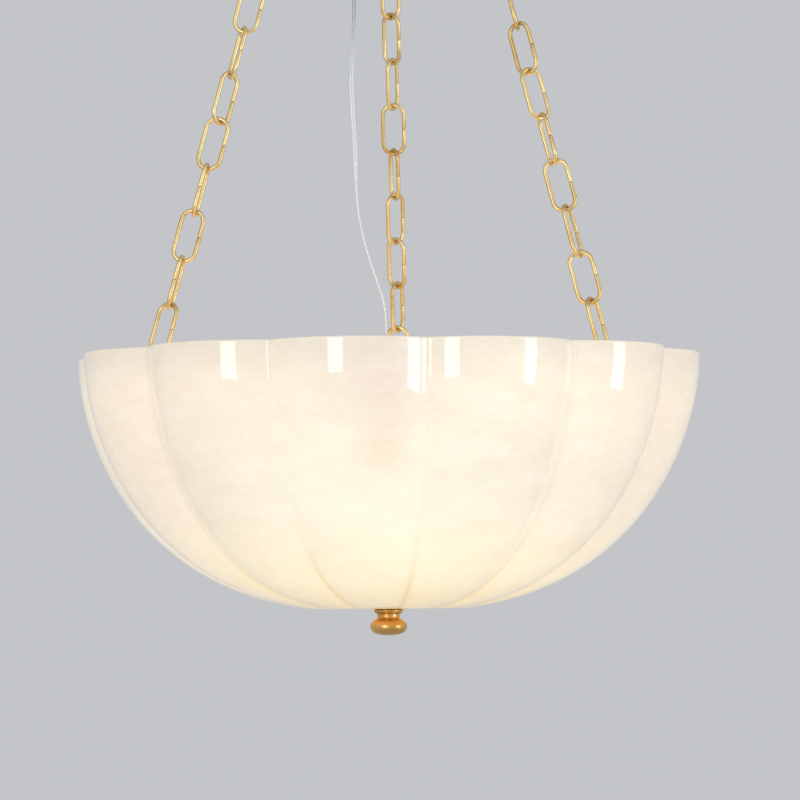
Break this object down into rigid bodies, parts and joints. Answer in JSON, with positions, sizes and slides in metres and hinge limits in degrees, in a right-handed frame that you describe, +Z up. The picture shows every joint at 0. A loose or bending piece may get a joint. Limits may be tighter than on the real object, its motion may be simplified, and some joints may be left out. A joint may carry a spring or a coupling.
{
  "type": "bowl pendant light",
  "caption": "Hanging light: a wide lobed stone bowl clamped on a centre rod by a turned finial, under a hub with arms that hang on link chains from a ring and a ceiling canopy.",
  "frame": {"origin": "on the ceiling plane, at the middle of the ceiling bracket, on the pendant's centre line", "axes": "+Z up towards the ceiling, +Y from the centre line towards the rear chain, +X to the right seen from the front"},
  "size_m": [0.5986, 0.5986, 1.1822],
  "materials": {
    "alabaster": "polished translucent alabaster, warm white with soft veins",
    "satin_brass": "satin brushed brass",
    "plain_brass": "plain turned brass",
    "steel": "zinc-plated steel",
    "gasket_rubber": "black rubber",
    "white_plastic": "white moulded plastic",
    "clear_plastic": "clear moulded plastic",
    "bulb_cap": "bright metal screw cap",
    "bulb_glass": "frosted lamp glass",
    "cord_sheath": "clear sheath over two stranded conductors"
  },
  "bodies": {
    "canopy": {"ceiling_bracket": "steel", "canopy_nipple": "plain_brass", "nipple_nuts": "plain_brass", "canopy": "satin_brass", "collar": "satin_brass", "canopy_loop": "satin_brass", "canopy_cord_gland": "clear_plastic", "terminal_block": "white_plastic"},
    "ring": {"gathering_ring": "satin_brass", "cord_upper": "cord_sheath"},
    "pendant": {"chain_left": "satin_brass", "chain_right": "satin_brass", "chain_rear": "satin_brass", "arm_left": "plain_brass", "arm_right": "plain_brass", "arm_rear": "plain_brass", "hub": "plain_brass", "arm_pins": "steel", "centre_rod": "plain_brass", "rod_nuts": "plain_brass", "hub_cord_gland": "white_plastic", "lamp_cluster": "plain_brass", "lamp_nipples": "plain_brass", "lamp_holder_left": "white_plastic", "lamp_holder_right": "white_plastic", "lamp_holder_rear": "white_plastic", "bulb_base_left": "bulb_cap", "bulb_base_right": "bulb_cap", "bulb_base_rear": "bulb_cap", "bulb_glass_left": "bulb_glass", "bulb_glass_right": "bulb_glass", "bulb_glass_rear": "bulb_glass", "cord_lower": "cord_sheath"},
    "bowl": {"bowl": "alabaster", "upper_gasket": "gasket_rubber", "clamp_plate": "steel", "lower_gasket": "gasket_rubber"},
    "finial": {"finial": "satin_brass"}
  },
  "joints": [
    {"name": "ring_swing", "type": "hinge", "parent": "canopy", "child": "ring", "pos_m": [0, 0, -0.0745], "axis": [0, 1, 0], "range_deg": [-15, 15], "deforming": ["cord_upper"]},
    {"name": "pendant_swing", "type": "hinge", "parent": "ring", "child": "pendant", "pos_m": [0, 0, -0.1287], "axis": [1, 0, 0], "range_deg": [-15, 15], "deforming": ["cord_lower"]},
    {"name": "bowl_lower", "type": "slide", "parent": "pendant", "child": "bowl", "axis": [0, 0, 1], "range_m": [-0.012, 0]},
    {"name": "finial_turn", "type": "hinge", "parent": "bowl", "child": "finial", "pos_m": [0, 0, -1.17], "axis": [0, 0, 1], "range_deg": [-4320, 0]}
  ],
  "couplings": [
    {"joint": "finial_turn", "follows": "bowl_lower", "rad_per_m": 6283.2}
  ]
}
